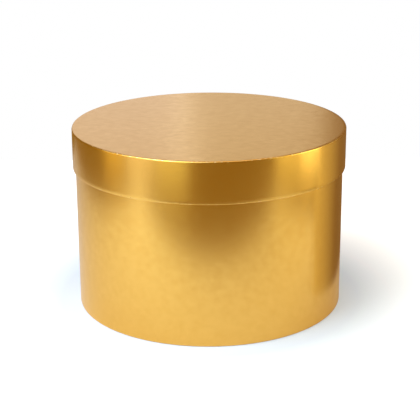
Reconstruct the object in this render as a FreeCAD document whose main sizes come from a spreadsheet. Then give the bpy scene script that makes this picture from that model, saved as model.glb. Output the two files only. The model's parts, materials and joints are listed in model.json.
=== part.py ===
"""Round flower box with a lift-off lid: rigid board covered in gold paper, with a drop-in liner.

Millimetres and degrees. Z is up, the origin is the centre of the underside, and the box stands
on z = 0. Every seam is at the back, towards +Y, and the lid's seam is turned away from the box's.
"""
import FreeCAD, Part
import os

import Sketcher

OUT_FOLDER = "parts"
AXIS = "axis"              # a point on the turning axis
GROUND = "ground"          # a point on the surface the box stands on
BACK = "90"                # the turn about Z that brings a seam from +X to the back
FULL_TURN = 360
DIGITS = 6                 # decimals that tell two places apart
NEAR = 1e-4                # how near an edge must be to the ring it is looked up by
SMALLEST_CUT = 0.01        # a cut that removes less than this has missed its piece

# The sizes that can be set by themselves, in the order in which they fill the sheet.
SIZES = (
    # the whole box
    ("box_outer_diameter", 245.2),      # over the side wrap
    ("overall_height", 166.0),          # from the underside to the lid's top
    ("lid_depth", 37.0),                # from the lid's top to its lower edge
    ("lid_clearance", 0.45),            # all round, between the side wrap and the lid's bore
    ("lid_seam_angle", 22.0),           # from the box's seam to the lid's
    # boards and papers
    ("wall_board", 1.5),
    ("base_board", 2.0),
    ("rim_board", 1.5),
    ("top_board", 2.0),
    ("wrap_paper", 0.15),
    ("lining_paper", 0.15),
    ("tape_paper", 0.1),
    # folds, each the radius of the paper's outer face
    ("lid_edge_radius", 1.0),
    ("lid_hem_radius", 0.5),
    ("box_lip_radius", 0.5),
    ("box_foot_radius", 0.5),
    # how far each paper reaches past its fold or stops short of an edge
    ("top_tab_length", 12.0),           # the top cover's tabs, down the rim board
    ("rim_wrap_drop", 0.3),             # from the top cover's fold to the rim wrap's upper edge
    ("rim_turn_in", 12.0),              # the rim wrap, up the inside of the rim
    ("rim_lining_margin", 5.0),         # from the lid's lower edge to the rim lining
    ("box_turn_in", 15.0),              # the side wrap, down the inside of the wall
    ("wall_lining_margin", 8.0),        # from the box's lip to the wall lining
    ("foot_turn_under", 13.0),          # the side wrap, in across the underside
    ("base_cover_inset", 4.6),          # from the side wrap to the base cover's edge
    ("joggle_run", 1.2),                # the length in which a paper climbs over another's edge
    # seams and notches
    ("lap_width", 12.0),
    ("joint_gap", 0.4),
    ("tape_width", 20.0),
    ("tape_margin", 0.8),
    ("notch_count", 48),
    ("notch_mouth", 1.2),
    ("notch_margin", 0.8),              # from a fold's end to the notch's point
    # the drop-in liner
    ("liner_sheet", 0.8),
    ("liner_height", 60.0),
    ("liner_gap", 1.0),                 # all round, between its flange and the wall lining
    ("liner_flange", 2.4),
    ("liner_lip", 3.0),                 # the flange's turned-down edge, from the liner's top
    ("liner_taper", 1.5),               # how much narrower its foot is than its top, on each side
    ("liner_corner_radius", 4.0),
)

# Radii and heights that follow from the sizes. Each may use the ones above it.
PLACES = (
    # radii of the box, from the outside in
    ("box_radius", "sizes.box_outer_diameter / 2"),
    ("wall_outer", "box_radius - sizes.wrap_paper"),
    ("wall_inner", "wall_outer - sizes.wall_board"),
    ("turn_in_face", "wall_inner - sizes.wrap_paper"),
    ("wall_lining_face", "wall_inner - sizes.lining_paper"),
    ("box_bore", "turn_in_face - sizes.lining_paper"),
    # radii of the lid, from the inside out
    ("lid_bore", "box_radius + sizes.lid_clearance"),
    ("hem_face", "lid_bore + sizes.lining_paper"),
    ("rim_inner", "hem_face + sizes.wrap_paper"),
    ("rim_lining_face", "rim_inner - sizes.lining_paper"),
    ("rim_outer", "rim_inner + sizes.rim_board"),
    ("tab_seat", "rim_outer - sizes.wrap_paper"),
    ("lid_radius", "rim_outer + sizes.wrap_paper"),
    # heights of the base, from the ground up
    ("wrap_foot", "sizes.wrap_paper"),
    ("board_foot", "wrap_foot + sizes.wrap_paper"),
    ("base_top", "board_foot + sizes.base_board"),
    ("floor_top", "base_top + sizes.lining_paper"),
    # heights of the lid, from the top down
    ("lid_top", "sizes.overall_height"),
    ("board_crown", "lid_top - sizes.wrap_paper"),
    ("top_board_under", "board_crown - sizes.top_board"),
    ("lid_ceiling", "top_board_under - sizes.lining_paper"),
    ("tab_top", "lid_top - sizes.lid_edge_radius"),
    ("tab_end", "tab_top - sizes.top_tab_length"),
    ("rim_wrap_top", "tab_top - sizes.rim_wrap_drop"),
    ("lid_bottom", "lid_top - sizes.lid_depth"),
    ("rim_bottom", "lid_bottom + sizes.wrap_paper"),
    ("hem_end", "lid_bottom + sizes.rim_turn_in"),
    ("rim_joggle", "hem_end + sizes.joggle_run"),
    ("rim_lining_bottom", "lid_bottom + sizes.rim_lining_margin"),
    # heights of the box's lip, on which the lid's ceiling rests
    ("box_lip", "lid_ceiling"),
    ("wall_top", "box_lip - sizes.wrap_paper"),
    ("turn_in_end", "box_lip - sizes.box_turn_in"),
    ("wall_joggle", "turn_in_end - sizes.joggle_run"),
    ("wall_lining_top", "box_lip - sizes.wall_lining_margin"),
    # radii of the underside
    ("foot_fold_end", "box_radius - sizes.box_foot_radius"),
    ("fringe_end", "foot_fold_end - sizes.foot_turn_under"),
    ("fringe_joggle", "fringe_end - sizes.joggle_run"),
    ("base_cover_radius", "box_radius - sizes.base_cover_inset"),
    # folds of the boards, one paper inside those of the wraps
    ("crown_round", "sizes.lid_edge_radius - sizes.wrap_paper"),
    ("hem_round", "sizes.lid_hem_radius - sizes.wrap_paper"),
    ("lip_round", "sizes.box_lip_radius - sizes.wrap_paper"),
    ("foot_round", "sizes.box_foot_radius - sizes.wrap_paper"),
    # laps, where a wrap's end lies over its start
    ("box_lap_radius", "box_radius + sizes.wrap_paper"),
    ("box_lap_foot", "wrap_foot + sizes.box_foot_radius"),
    ("box_lap_top", "box_lip - sizes.box_lip_radius"),
    ("box_lap_turn", "sizes.lap_width / box_radius * 180 / pi"),
    ("lid_lap_radius", "lid_radius + sizes.wrap_paper"),
    ("lid_lap_foot", "lid_bottom + sizes.lid_hem_radius"),
    ("lid_lap_turn", "sizes.lap_width / lid_radius * 180 / pi"),
    # tapes, let into the inner faces of the boards
    ("wall_tape_back", "wall_inner + sizes.tape_paper"),
    ("wall_tape_top", "wall_top - sizes.tape_margin"),
    ("wall_tape_turn", "sizes.tape_width / wall_inner * 180 / pi"),
    ("rim_tape_back", "rim_inner + sizes.tape_paper"),
    ("rim_tape_foot", "rim_bottom + sizes.tape_margin"),
    ("rim_tape_turn", "sizes.tape_width / rim_inner * 180 / pi"),
    # the gap of a butt joint and the notches of a fringe, either side of their middle
    ("gap_right", "sizes.joint_gap / 2"),
    ("gap_left", "-gap_right"),
    ("notch_right", "sizes.notch_mouth / 2"),
    ("notch_left", "-notch_right"),
    ("foot_notch_point", "foot_fold_end - sizes.notch_margin"),
    ("tab_notch_point", "tab_top - sizes.notch_margin"),
    ("tab_notch_mouth", "tab_end - sizes.joggle_run"),
    ("half_notch_turn", "180 / sizes.notch_count"),
    # the liner
    ("liner_rim", "box_bore - sizes.liner_gap"),
    ("liner_lip_inner", "liner_rim - sizes.liner_sheet"),
    ("liner_neck", "liner_rim - sizes.liner_flange"),
    ("liner_mouth", "liner_neck - sizes.liner_sheet"),
    ("liner_foot", "liner_neck - sizes.liner_taper"),
    ("liner_floor_radius", "liner_foot - sizes.liner_sheet"),
    ("liner_floor", "floor_top + sizes.liner_sheet"),
    ("liner_top", "floor_top + sizes.liner_height"),
    ("liner_flange_under", "liner_top - sizes.liner_sheet"),
    ("liner_lip_end", "liner_top - sizes.liner_lip"),
    ("liner_inner_round", "sizes.liner_corner_radius - sizes.liner_sheet"),
)


def new_document():
    """The document: the driving sizes in a sheet, and the places that follow from them."""
    doc = FreeCAD.newDocument("flower_box")
    sheet = doc.addObject("Spreadsheet::Sheet", "sizes")
    for row, (name, value) in enumerate(SIZES, start=1):
        cell = "A%d" % row
        sheet.set(cell, str(value))
        sheet.setAlias(cell, name)
    doc.recompute()
    places = doc.addObject("App::VarSet", "places")
    for name, formula in PLACES:
        places.addProperty("App::PropertyFloat", name, "places")
        places.setExpression(name, formula)
    doc.recompute()
    return doc


def formula_of(name):
    """The formula that reads a named size or place."""
    if name in (AXIS, GROUND):
        return "0"
    if name in dict(SIZES):
        return "sizes." + name
    return "places." + name


def value_of(doc, formula):
    """What a formula comes to now."""
    return float(doc.getObject("sizes").evalExpression(formula))


# ---- Sketches


def origin_feature(body, role):
    """One of the body's own origin planes or axes."""
    return next(item for item in body.Origin.OriginFeatures if item.Role == role)


def shifted(name, step, radius):
    """The formula for a place moved by a radius, forwards, backwards or not at all."""
    sign = {1: " + ", 0: None, -1: " - "}[step]
    return formula_of(name) if sign is None else formula_of(name) + sign + formula_of(radius)


def heading(here, there):
    """Which way there lies from here, as -1, 0 or 1 across and up."""
    steps = [round(end - start, DIGITS) for start, end in zip(here, there)]
    return [(step > 0) - (step < 0) for step in steps]


def outline_points(doc, corners):
    """The points of an outline, as (across, up, fold) formulas.

    A corner is (across, up), or (across, up, radius) where two square runs meet in a fold. A
    fold gives two points, and its radius and its corner stand with the first of them.
    """
    spots = [[value_of(doc, formula_of(name)) for name in corner[:2]] for corner in corners]
    points = []
    for number, corner in enumerate(corners):
        if len(corner) == 2:
            points.append((formula_of(corner[0]), formula_of(corner[1]), None))
            continue
        across, up, radius = corner
        before = heading(spots[number], spots[number - 1])
        after = heading(spots[number], spots[(number + 1) % len(spots)])
        fold = (formula_of(radius), FreeCAD.Vector(*spots[number], 0))
        points.append((shifted(across, before[0], radius), shifted(up, before[1], radius), fold))
        points.append((shifted(across, after[0], radius), shifted(up, after[1], radius), None))
    return points


def edge_between(doc, start, end, fold):
    """A straight run from start to end, or the arc that folds its corner."""
    if fold is None:
        return Part.LineSegment(start, end)
    radius, corner = fold
    centre = start + end - corner
    crown = centre + (corner - centre).normalize() * value_of(doc, radius)
    return Part.Arc(start, crown, end)


def end_at(sketch, edge, spot):
    """Which end of an edge, 1 or 2, lies at the spot."""
    return min((1, 2), key=lambda end: (sketch.getPoint(edge, end) - spot).Length)


def tie(doc, sketch, kind, formula, *where):
    """Adds a constraint whose value follows a formula."""
    number = sketch.addConstraint(Sketcher.Constraint(kind, *where, value_of(doc, formula)))
    sketch.setExpression("Constraints[%d]" % number, formula)


def draw(doc, body, name, plane, corners):
    """A sketch of a closed outline, with every point and fold tied to the sizes."""
    sketch = body.newObject("Sketcher::SketchObject", name)
    sketch.AttachmentSupport = [(origin_feature(body, plane), "")]
    sketch.MapMode = "FlatFace"
    points = outline_points(doc, corners)
    spots = [FreeCAD.Vector(value_of(doc, x), value_of(doc, y), 0) for x, y, _ in points]
    following = spots[1:] + spots[:1]
    for start, end, (_, _, fold) in zip(spots, following, points):
        sketch.addGeometry(edge_between(doc, start, end, fold))
    for edge, (across, up, fold) in enumerate(points):
        end = end_at(sketch, edge, spots[edge])
        last = end_at(sketch, edge - 1 if edge else len(points) - 1, spots[edge])
        sketch.addConstraint(
            Sketcher.Constraint("Coincident", (edge - 1) % len(points), last, edge, end))
        tie(doc, sketch, "DistanceX", across, -1, 1, edge, end)
        tie(doc, sketch, "DistanceY", up, -1, 1, edge, end)
        if fold is not None:
            tie(doc, sketch, "Radius", fold[0], edge)
    return sketch


# ---- Features


def new_body(doc, name, turn):
    """An empty body for one sub-part, turned about Z by a formula."""
    body = doc.addObject("PartDesign::Body", name)
    body.Label = name
    body.Placement = FreeCAD.Placement(FreeCAD.Vector(), FreeCAD.Rotation(FreeCAD.Vector(0, 0, 1), 0))
    body.setExpression("Placement.Rotation.Angle", turn)
    return body


def revolve(doc, body, name, corners, turn=None, kind="PartDesign::Revolution"):
    """Turns an outline about Z: all the way round, or by a turn centred on +X."""
    sketch = draw(doc, body, name + "_outline", "XZ_Plane", corners)
    feature = body.newObject(kind, name)
    feature.Profile = sketch
    feature.ReferenceAxis = (sketch, ["V_Axis"])
    feature.Angle = FULL_TURN
    if turn is not None:
        feature.Midplane = True
        feature.setExpression("Angle", formula_of(turn))
    doc.recompute()
    return feature


def turn_sketch(sketch, axis, turn):
    """Turns a sketch on its plane's place, about one of its own axes."""
    sketch.AttachmentOffset = FreeCAD.Placement(FreeCAD.Vector(), FreeCAD.Rotation(axis, 0))
    sketch.setExpression("AttachmentOffset.Rotation.Angle", formula_of(turn))


def cut(doc, body, name, plane, corners, depth, turned=None):
    """A pocket from one of the origin planes, towards +X or +Z, to a depth.

    turned is the sketch's own axis that stands along Z, for a notch. Its sketch is turned about
    that axis by half a notch's pitch, so that no notch meets the edge where the sheet closes.
    """
    before = body.Shape.Volume
    sketch = draw(doc, body, name + "_outline", plane, corners)
    if turned is not None:
        turn_sketch(sketch, turned, "half_notch_turn")
    pocket = body.newObject("PartDesign::Pocket", name)
    pocket.Profile = sketch
    pocket.Reversed = True
    pocket.setExpression("Length", formula_of(depth))
    doc.recompute()
    if before - body.Shape.Volume < SMALLEST_CUT:
        raise RuntimeError("the cut %s missed its piece" % name)
    return pocket


def repeat_round(doc, body, feature):
    """Repeats a notch all round its fringe."""
    pattern = body.newObject("PartDesign::PolarPattern", feature.Name + "_ring")
    pattern.Originals = [feature]
    pattern.Axis = (origin_feature(body, "Z_Axis"), [""])
    pattern.Angle = FULL_TURN
    pattern.setExpression("Occurrences", formula_of("notch_count"))
    body.Tip = pattern
    doc.recompute()


def ring_edge(doc, shape, radius, height):
    """The name of the round edge with a given radius and height."""
    wanted = value_of(doc, formula_of(radius)), value_of(doc, formula_of(height))
    for number, edge in enumerate(shape.Edges, start=1):
        if not hasattr(edge.Curve, "Radius"):
            continue
        found = edge.Curve.Radius, edge.Curve.Center.z
        if max(abs(one - other) for one, other in zip(found, wanted)) < NEAR:
            return "Edge%d" % number
    raise RuntimeError("no round edge at %s, %s" % (radius, height))


def round_ring(doc, body, name, ring, radius):
    """Rounds one round edge of the body, given by its radius and height."""
    base = body.Tip
    fillet = body.newObject("PartDesign::Fillet", name)
    fillet.Base = (base, [ring_edge(doc, base.Shape, *ring)])
    fillet.setExpression("Radius", formula_of(radius))
    doc.recompute()


def joint_cut(doc, body, name, wall, height):
    """Opens the butt joint, where the two ends of a bent strip meet."""
    inner, outer = wall
    corners = ((inner, "gap_left"), (outer, "gap_left"), (outer, "gap_right"), (inner, "gap_right"))
    cut(doc, body, name, "XY_Plane", corners, height)


def ring(doc, name, corners, turn=BACK):
    """A sub-part that is one outline turned all the way round."""
    body = new_body(doc, name, turn)
    revolve(doc, body, name + "_form", corners)
    return body


# ---- The box


def box_wall_board(doc):
    """The wall: a strip of board bent round, butted at the back and let in for its tape."""
    body = ring(doc, "box_wall_board", (
        ("wall_inner", "board_foot"),
        ("wall_outer", "board_foot", "foot_round"),
        ("wall_outer", "wall_top", "lip_round"),
        ("wall_inner", "wall_top", "lip_round"),
    ))
    revolve(doc, body, "wall_tape_seat", wall_tape_outline("turn_in_face"), "wall_tape_turn",
            "PartDesign::Groove")
    joint_cut(doc, body, "wall_joint", ("turn_in_face", "box_radius"), "lid_top")


def wall_tape_outline(face):
    """The section of the wall's tape, from a face to its back."""
    return ((face, "base_top"), ("wall_tape_back", "base_top"),
            ("wall_tape_back", "wall_tape_top"), (face, "wall_tape_top"))


def box_joint_tape(doc):
    """The paper tape over the wall's butt joint."""
    body = new_body(doc, "box_joint_tape", BACK)
    revolve(doc, body, "wall_tape_form", wall_tape_outline("wall_inner"), "wall_tape_turn")


def box_base_board(doc):
    """The base: a disc of board inside the foot of the wall."""
    ring(doc, "box_base_board", (
        (AXIS, "board_foot"), ("wall_inner", "board_foot"),
        ("wall_inner", "base_top"), (AXIS, "base_top"),
    ))


def box_side_wrap(doc):
    """The gold wrap: in under the foot as a notched fringe, up the wall and in over its lip."""
    body = ring(doc, "box_side_wrap", (
        ("fringe_end", "wrap_foot"),
        ("box_radius", "wrap_foot", "box_foot_radius"),
        ("box_radius", "box_lip", "box_lip_radius"),
        ("turn_in_face", "box_lip", "box_lip_radius"),
        ("turn_in_face", "turn_in_end"),
        ("wall_inner", "turn_in_end"),
        ("wall_inner", "wall_top", "lip_round"),
        ("wall_outer", "wall_top", "lip_round"),
        ("wall_outer", "board_foot", "foot_round"),
        ("fringe_end", "board_foot"),
    ))
    revolve(doc, body, "box_lap", (
        ("box_radius", "box_lap_foot"), ("box_lap_radius", "box_lap_foot"),
        ("box_lap_radius", "box_lap_top"), ("box_radius", "box_lap_top"),
    ), "box_lap_turn")
    notch = cut(doc, body, "foot_notch", "XY_Plane", (
        ("foot_notch_point", GROUND), ("fringe_joggle", "notch_right"), ("fringe_joggle", "notch_left"),
    ), "base_top", FreeCAD.Vector(0, 0, 1))
    repeat_round(doc, body, notch)


def box_base_cover(doc):
    """The paper over the underside, which climbs off the fringe's edge onto the base board."""
    ring(doc, "box_base_cover", (
        (AXIS, "wrap_foot"), ("fringe_joggle", "wrap_foot"),
        ("fringe_end", GROUND), ("base_cover_radius", GROUND),
        ("base_cover_radius", "wrap_foot"), ("fringe_end", "wrap_foot"),
        ("fringe_joggle", "board_foot"), (AXIS, "board_foot"),
    ))


def box_wall_lining(doc):
    """The paper inside the wall, which climbs over the edge of the wrap's turn-in."""
    ring(doc, "box_wall_lining", (
        ("wall_inner", "base_top"), ("wall_inner", "wall_joggle"),
        ("turn_in_face", "turn_in_end"), ("turn_in_face", "wall_lining_top"),
        ("box_bore", "wall_lining_top"), ("box_bore", "turn_in_end"),
        ("wall_lining_face", "wall_joggle"), ("wall_lining_face", "base_top"),
    ))


def box_floor_lining(doc):
    """The paper on the floor of the box."""
    ring(doc, "box_floor_lining", (
        (AXIS, "base_top"), ("wall_lining_face", "base_top"),
        ("wall_lining_face", "floor_top"), (AXIS, "floor_top"),
    ))


# ---- The lid


LID_TURN = BACK + " + sizes.lid_seam_angle"


def lid_rim_board(doc):
    """The rim: a strip of board bent round, pressed in where the top cover's tabs lie on it."""
    body = ring(doc, "lid_rim_board", (
        ("rim_inner", "rim_bottom", "hem_round"),
        ("rim_outer", "rim_bottom", "hem_round"),
        ("rim_outer", "tab_end"),
        ("tab_seat", "tab_end"),
        ("tab_seat", "board_crown", "crown_round"),
        ("rim_inner", "board_crown"),
    ), LID_TURN)
    revolve(doc, body, "rim_tape_seat", rim_tape_outline("hem_face"), "rim_tape_turn",
            "PartDesign::Groove")
    joint_cut(doc, body, "rim_joint", ("hem_face", "lid_radius"), "lid_top")


def rim_tape_outline(face):
    """The section of the rim's tape, from a face to its back."""
    return ((face, "rim_tape_foot"), ("rim_tape_back", "rim_tape_foot"),
            ("rim_tape_back", "top_board_under"), (face, "top_board_under"))


def lid_joint_tape(doc):
    """The paper tape over the rim's butt joint."""
    body = new_body(doc, "lid_joint_tape", LID_TURN)
    revolve(doc, body, "rim_tape_form", rim_tape_outline("rim_inner"), "rim_tape_turn")


def lid_top_board(doc):
    """The lid's disc of board, inside the rim and flush with its upper edge."""
    ring(doc, "lid_top_board", (
        (AXIS, "top_board_under"), ("rim_inner", "top_board_under"),
        ("rim_inner", "board_crown"), (AXIS, "board_crown"),
    ), LID_TURN)


def lid_top_cover(doc):
    """The gold disc over the top, folded down the rim in notched tabs."""
    body = ring(doc, "lid_top_cover", (
        (AXIS, "board_crown"),
        ("tab_seat", "board_crown", "crown_round"),
        ("tab_seat", "tab_end"),
        ("rim_outer", "tab_end"),
        ("rim_outer", "lid_top", "lid_edge_radius"),
        (AXIS, "lid_top"),
    ), LID_TURN)
    notch = cut(doc, body, "tab_notch", "YZ_Plane", (
        (AXIS, "tab_notch_point"), ("notch_left", "tab_notch_mouth"), ("notch_right", "tab_notch_mouth"),
    ), "lid_radius", FreeCAD.Vector(0, 1, 0))
    repeat_round(doc, body, notch)


def lid_rim_wrap(doc):
    """The gold strip round the rim, turned in round its lower edge and lapped at its ends."""
    body = ring(doc, "lid_rim_wrap", (
        ("lid_radius", "rim_wrap_top"),
        ("lid_radius", "lid_bottom", "lid_hem_radius"),
        ("hem_face", "lid_bottom", "lid_hem_radius"),
        ("hem_face", "hem_end"),
        ("rim_inner", "hem_end"),
        ("rim_inner", "rim_bottom", "hem_round"),
        ("rim_outer", "rim_bottom", "hem_round"),
        ("rim_outer", "rim_wrap_top"),
    ), LID_TURN)
    revolve(doc, body, "lid_lap", (
        ("lid_radius", "lid_lap_foot"), ("lid_lap_radius", "lid_lap_foot"),
        ("lid_lap_radius", "rim_wrap_top"), ("lid_radius", "rim_wrap_top"),
    ), "lid_lap_turn")


def lid_rim_lining(doc):
    """The paper inside the rim, which climbs over the edge of the wrap's turn-in."""
    ring(doc, "lid_rim_lining", (
        ("rim_inner", "top_board_under"), ("rim_inner", "rim_joggle"),
        ("hem_face", "hem_end"), ("hem_face", "rim_lining_bottom"),
        ("lid_bore", "rim_lining_bottom"), ("lid_bore", "hem_end"),
        ("rim_lining_face", "rim_joggle"), ("rim_lining_face", "top_board_under"),
    ), LID_TURN)


def lid_top_lining(doc):
    """The paper inside the lid's top, which the box's lip carries."""
    ring(doc, "lid_top_lining", (
        (AXIS, "lid_ceiling"), ("rim_lining_face", "lid_ceiling"),
        ("rim_lining_face", "top_board_under"), (AXIS, "top_board_under"),
    ), LID_TURN)


# ---- The liner


def waterproof_liner(doc):
    """The thin moulded tub that keeps wet foam off the board."""
    body = ring(doc, "waterproof_liner", (
        (AXIS, "floor_top"), ("liner_foot", "floor_top"),
        ("liner_neck", "liner_flange_under"), ("liner_lip_inner", "liner_flange_under"),
        ("liner_lip_inner", "liner_lip_end"), ("liner_rim", "liner_lip_end"),
        ("liner_rim", "liner_top"), ("liner_mouth", "liner_top"),
        ("liner_floor_radius", "liner_floor"), (AXIS, "liner_floor"),
    ))
    round_ring(doc, body, "liner_foot_round", ("liner_foot", "floor_top"), "liner_corner_radius")
    round_ring(doc, body, "liner_floor_round", ("liner_floor_radius", "liner_floor"),
               "liner_inner_round")


SUB_PARTS = (
    box_wall_board, box_joint_tape, box_base_board, box_side_wrap, box_base_cover, box_wall_lining,
    box_floor_lining, lid_rim_board, lid_joint_tape, lid_top_board, lid_top_cover, lid_rim_wrap,
    lid_rim_lining, lid_top_lining, waterproof_liner,
)


def check(doc, bodies):
    """Stops if any object failed or any sub-part is missing, broken or in more than one piece."""
    for item in doc.Objects:
        if {"Invalid", "Error"} & set(item.State):
            raise RuntimeError("%s failed: %s" % (item.Label, item.State))
    for body in bodies:
        if body.Shape.isNull() or not body.Shape.isValid() or len(body.Shape.Solids) != 1:
            raise RuntimeError("%s is not one valid solid" % body.Label)


def main():
    """Builds every sub-part and writes each to its own file."""
    doc = new_document()
    for build in SUB_PARTS:
        build(doc)
    doc.recompute()
    bodies = [item for item in doc.Objects if item.TypeId == "PartDesign::Body"]
    check(doc, bodies)
    os.makedirs(OUT_FOLDER, exist_ok=True)
    for body in bodies:
        body.Shape.exportStep(os.path.join(OUT_FOLDER, body.Label + ".step"))
        box = body.Shape.BoundBox
        print("%-18s %10.1f mm3  z %7.2f to %7.2f" % (body.Label, body.Shape.Volume, box.ZMin, box.ZMax))


main()
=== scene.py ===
"""Round gold flower box with a lift-off lid: its papers and liner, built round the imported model.

Metres. Z is up and the box stands on z = 0, centred on the Z axis, with its seams at the back (+Y).
Each sheet of paper is drawn as a section, folded at its corners, spun round the box and given the
thickness of the paper, as a box maker wraps it.
"""
from __future__ import annotations

import json
import logging
import math
from dataclasses import dataclass, field
from enum import Enum
from typing import Callable, Iterable

import bpy
from mathutils import Matrix, Vector

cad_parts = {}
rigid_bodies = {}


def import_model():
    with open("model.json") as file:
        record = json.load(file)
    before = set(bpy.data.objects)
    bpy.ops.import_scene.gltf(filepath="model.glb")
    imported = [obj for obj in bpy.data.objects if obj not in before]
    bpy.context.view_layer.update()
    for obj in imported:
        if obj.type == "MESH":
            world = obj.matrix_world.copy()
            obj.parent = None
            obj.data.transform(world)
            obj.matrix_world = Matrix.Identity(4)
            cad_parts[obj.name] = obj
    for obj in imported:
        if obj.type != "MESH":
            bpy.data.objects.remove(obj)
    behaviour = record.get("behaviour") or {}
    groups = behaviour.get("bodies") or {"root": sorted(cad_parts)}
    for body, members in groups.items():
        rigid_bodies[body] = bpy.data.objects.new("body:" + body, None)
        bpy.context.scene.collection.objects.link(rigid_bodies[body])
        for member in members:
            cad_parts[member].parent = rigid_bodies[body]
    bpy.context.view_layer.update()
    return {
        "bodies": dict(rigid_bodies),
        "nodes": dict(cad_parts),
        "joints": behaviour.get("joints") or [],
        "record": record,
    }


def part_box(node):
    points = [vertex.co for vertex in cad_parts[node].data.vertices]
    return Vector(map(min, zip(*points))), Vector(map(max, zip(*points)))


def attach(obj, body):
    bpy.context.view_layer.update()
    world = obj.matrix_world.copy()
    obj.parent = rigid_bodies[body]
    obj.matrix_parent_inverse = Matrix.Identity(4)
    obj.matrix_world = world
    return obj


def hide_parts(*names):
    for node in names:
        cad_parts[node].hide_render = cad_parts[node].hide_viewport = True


LOG = logging.getLogger("flower_box")

MM = 0.001                      # a millimetre, in metres
TINY = 1e-6                     # how near two places count as one
NEAR = 1e-5                     # the same, where a sheet's columns leave the true circle
FULL_TURN = 2 * math.pi
BACK = math.pi / 2              # the direction of the box's seam, from +X
STEPS = 384                     # columns of a sheet round the box
GRID_SIDE = STEPS // 4          # columns along each side of a disc's square grid
FOLD_STEPS = 6                  # rows in a fold
SHARP = math.radians(35)        # edges that turn more than this stay crisp
WAVE_LENGTH = 34 * MM           # how far apart the board's high spots lie
WEAR_REACH = 1.5 * MM           # how far from a fold its paper is rubbed

Place = tuple[float, float]     # (distance from the axis, height)
Piece = bpy.types.Object
Finish = bpy.types.Material
Socket = bpy.types.NodeSocket


class Slot(Enum):
    """The record's material slots, which pick the materials that new pieces are dressed in."""

    GOLD = "gold_paper"
    LINING = "lining_paper"
    PLASTIC = "liner_plastic"


# ---- Modelling by operators


def edit(mode: str = "VERT") -> None:
    """Goes into edit mode with nothing selected.

    Args:
        mode: what is to be selected, VERT, EDGE or FACE.
    """
    bpy.ops.object.mode_set(mode="EDIT")
    bpy.ops.mesh.select_mode(type=mode)
    bpy.ops.mesh.select_all(action="DESELECT")


def leave() -> None:
    """Goes back to object mode."""
    bpy.ops.object.mode_set(mode="OBJECT")


def take(obj: Piece) -> None:
    """Makes an object the only selected one and the active one."""
    bpy.ops.object.select_all(action="DESELECT")
    obj.select_set(True)
    bpy.context.view_layer.objects.active = obj


def reach(point: Vector) -> float:
    """How far a point is from the box's axis."""
    return math.hypot(point.x, point.y)


def bearing(point: Vector) -> float:
    """A point's direction from the axis, from 0 to a full turn, counted from +X."""
    return math.atan2(point.y, point.x) % FULL_TURN


def pick(obj: Piece, mode: str, wanted: Iterable[bool]) -> None:
    """Goes into edit mode with some parts of a mesh selected.

    Args:
        obj: the object, in object mode.
        mode: what is selected, VERT, EDGE or FACE.
        wanted: whether each of them is, in order.
    """
    flags = list(wanted)
    take(obj)
    edit(mode)
    leave()
    parts = {"VERT": obj.data.vertices, "EDGE": obj.data.edges, "FACE": obj.data.polygons}[mode]
    parts.foreach_set("select", flags)
    bpy.ops.object.mode_set(mode="EDIT")


def pick_points(obj: Piece, wanted: Callable[[Vector], bool]) -> None:
    """Goes into edit mode with the vertices selected whose place is wanted."""
    pick(obj, "VERT", (wanted(vertex.co) for vertex in obj.data.vertices))


def pick_edges(obj: Piece, wanted: Callable[[Vector, Vector], bool]) -> None:
    """Goes into edit mode with the edges selected whose two ends are wanted."""
    points = obj.data.vertices
    pick(obj, "EDGE", (wanted(*(points[end].co for end in edge.vertices)) for edge in obj.data.edges))


def pick_faces(obj: Piece, wanted: Callable[[Vector], bool]) -> None:
    """Goes into edit mode with the faces selected whose middle is wanted."""
    pick(obj, "FACE", (wanted(face.center) for face in obj.data.polygons))


def apply_modifier(obj: Piece, kind: str, **settings: object) -> None:
    """Adds a modifier, sets it and applies it.

    Args:
        obj: the object.
        kind: the modifier's type.
        settings: its properties.
    """
    take(obj)
    modifier = obj.modifiers.new(kind.title(), kind)
    for name, value in settings.items():
        setattr(modifier, name, value)
    bpy.ops.object.modifier_apply(modifier=modifier.name)


def add_plane(name: str, size: float) -> Piece:
    """Adds a square and goes into edit mode with all of it selected.

    Args:
        name: the new object's name.
        size: the square's side.

    Returns:
        The new object.
    """
    bpy.ops.object.select_all(action="DESELECT")
    bpy.ops.mesh.primitive_plane_add(size=size)
    obj = bpy.context.object
    obj.name = obj.data.name = name
    edit()
    bpy.ops.mesh.select_all(action="SELECT")
    return obj


def draw_line(name: str, spots: list[Vector]) -> Piece:
    """Draws a line by extruding one point from spot to spot, and stays in edit mode.

    Args:
        name: the new object's name.
        spots: the places it passes, in order.

    Returns:
        The new object, a chain of edges.
    """
    obj = add_plane(name, MM)
    bpy.ops.mesh.merge(type="CENTER")
    bpy.ops.transform.translate(value=spots[0])
    for start, end in zip(spots, spots[1:]):
        bpy.ops.mesh.extrude_vertices_move(TRANSFORM_OT_translate={"value": end - start})
    return obj


def in_section(place: Place) -> Vector:
    """A section's place, on the X side of the axis."""
    return Vector((place[0], 0, place[1]))


def fold(obj: Piece, corner: Place, radius: float) -> None:
    """Rounds one corner of a section.

    Args:
        obj: the section.
        corner: where the corner is.
        radius: the fold's radius.
    """
    spot = in_section(corner)
    pick_points(obj, lambda point: (point - spot).length < TINY)
    bpy.ops.mesh.bevel(offset=radius, segments=FOLD_STEPS, affect="VERTICES", profile=0.5)
    leave()


def divide(obj: Piece, start: Place, end: Place, cuts: int) -> None:
    """Divides one straight run of a section.

    Args:
        obj: the section.
        start: one end of the run.
        end: the other end.
        cuts: how many points are added.
    """
    ends = [in_section(start), in_section(end)]

    def wanted(one: Vector, other: Vector) -> bool:
        return any((one - a).length < TINY and (other - b).length < TINY
                   for a, b in (ends, ends[::-1]))

    pick_edges(obj, wanted)
    bpy.ops.mesh.subdivide(number_cuts=cuts)
    leave()


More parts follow.
